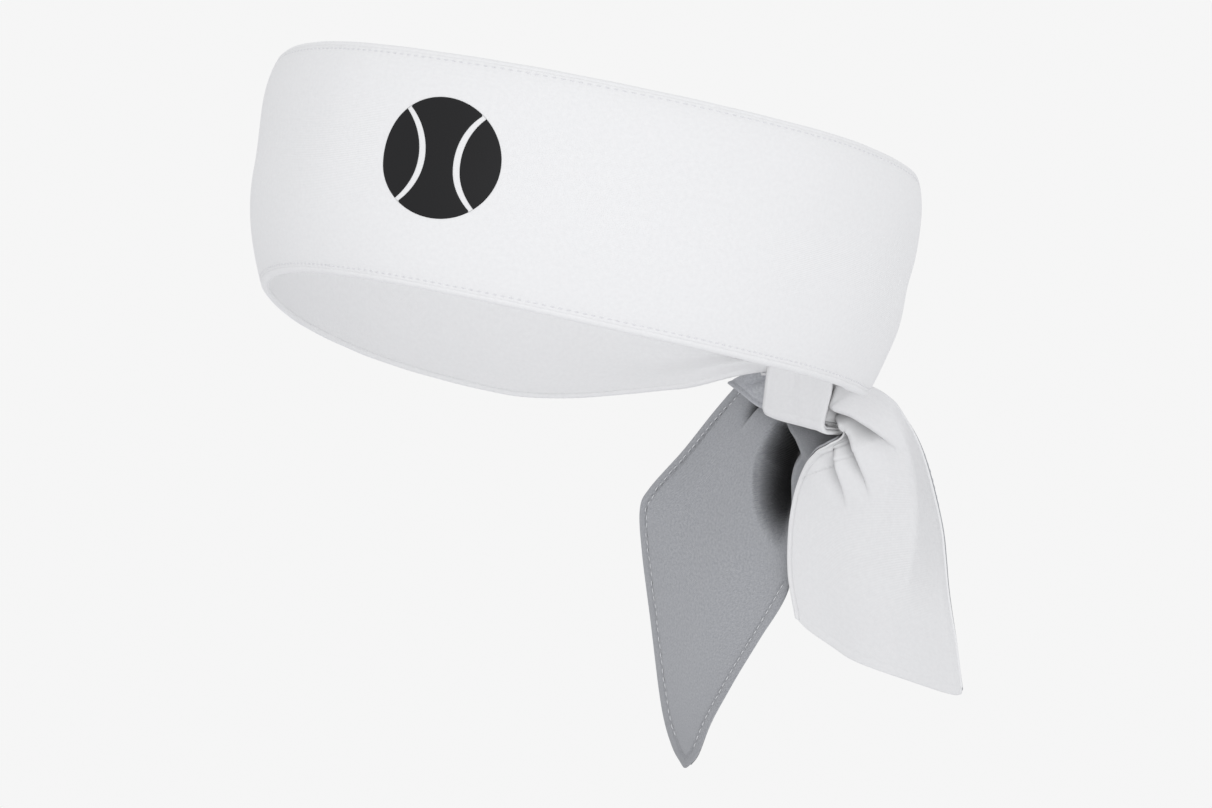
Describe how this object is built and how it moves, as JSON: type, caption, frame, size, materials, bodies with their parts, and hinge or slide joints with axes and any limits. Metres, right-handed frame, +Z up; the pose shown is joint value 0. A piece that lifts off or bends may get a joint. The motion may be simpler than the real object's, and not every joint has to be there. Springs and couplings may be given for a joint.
{
  "type": "tied sports headband",
  "caption": "Tied sports headband: a tall layered fabric band worn round the head, gathered into a knot at the back, with angled fabric tails hanging from the knot.",
  "frame": {"origin": "centre of the head opening, half way up the band", "axes": "+Z up toward the crown of the head, -Y toward the forehead, +X toward the wearer's left ear"},
  "size_m": [0.1652, 0.204, 0.1891],
  "materials": {
    "face_fabric": "matte white stretch weave",
    "reverse_fabric": "satin mid-grey stretch weave",
    "print": "flat black heat transfer",
    "white_thread": "satin polyester thread",
    "grey_thread": "satin polyester thread"
  },
  "bodies": {
    "headband": {"band_face": "face_fabric", "band_lining": "face_fabric", "top_edge_roll": "face_fabric", "bottom_edge_roll": "face_fabric", "top_edge_stitching": "white_thread", "bottom_edge_stitching": "white_thread", "printed_mark": "print", "inner_knot_wrap": "face_fabric", "inner_knot_core": "face_fabric", "outer_knot_wrap": "face_fabric", "outer_knot_core": "face_fabric", "knot_folded_corner": "reverse_fabric"},
    "right_tail_root": {"right_tail_root_facing": "reverse_fabric", "right_tail_root_face": "face_fabric"},
    "right_tail_end": {"right_tail_end_facing": "reverse_fabric", "right_tail_end_face": "face_fabric", "right_tail_stitching": "grey_thread"},
    "left_tail_root": {"left_tail_root_face": "face_fabric", "left_tail_root_facing": "reverse_fabric"},
    "left_tail_end": {"left_tail_end_face": "face_fabric", "left_tail_end_facing": "reverse_fabric", "left_tail_stitching": "grey_thread"}
  },
  "joints": [
    {"name": "right_tail_splay", "type": "hinge", "parent": "headband", "child": "right_tail_root", "pos_m": [-0.01, 0.098, -0.05], "axis": [0, 1, 0], "range_deg": [0, 25]},
    {"name": "right_tail_flap", "type": "hinge", "parent": "right_tail_root", "child": "right_tail_end", "pos_m": [-0.035, 0.098, -0.062], "axis": [1, 0, 0], "range_deg": [-15, 70]},
    {"name": "left_tail_splay", "type": "hinge", "parent": "headband", "child": "left_tail_root", "pos_m": [0.0155, 0.094, -0.048], "axis": [0, -1, 0], "range_deg": [0, 25]},
    {"name": "left_tail_flap", "type": "hinge", "parent": "left_tail_root", "child": "left_tail_end", "pos_m": [0.018, 0.094, -0.062], "axis": [1, 0, 0], "range_deg": [-15, 70]}
  ]
}
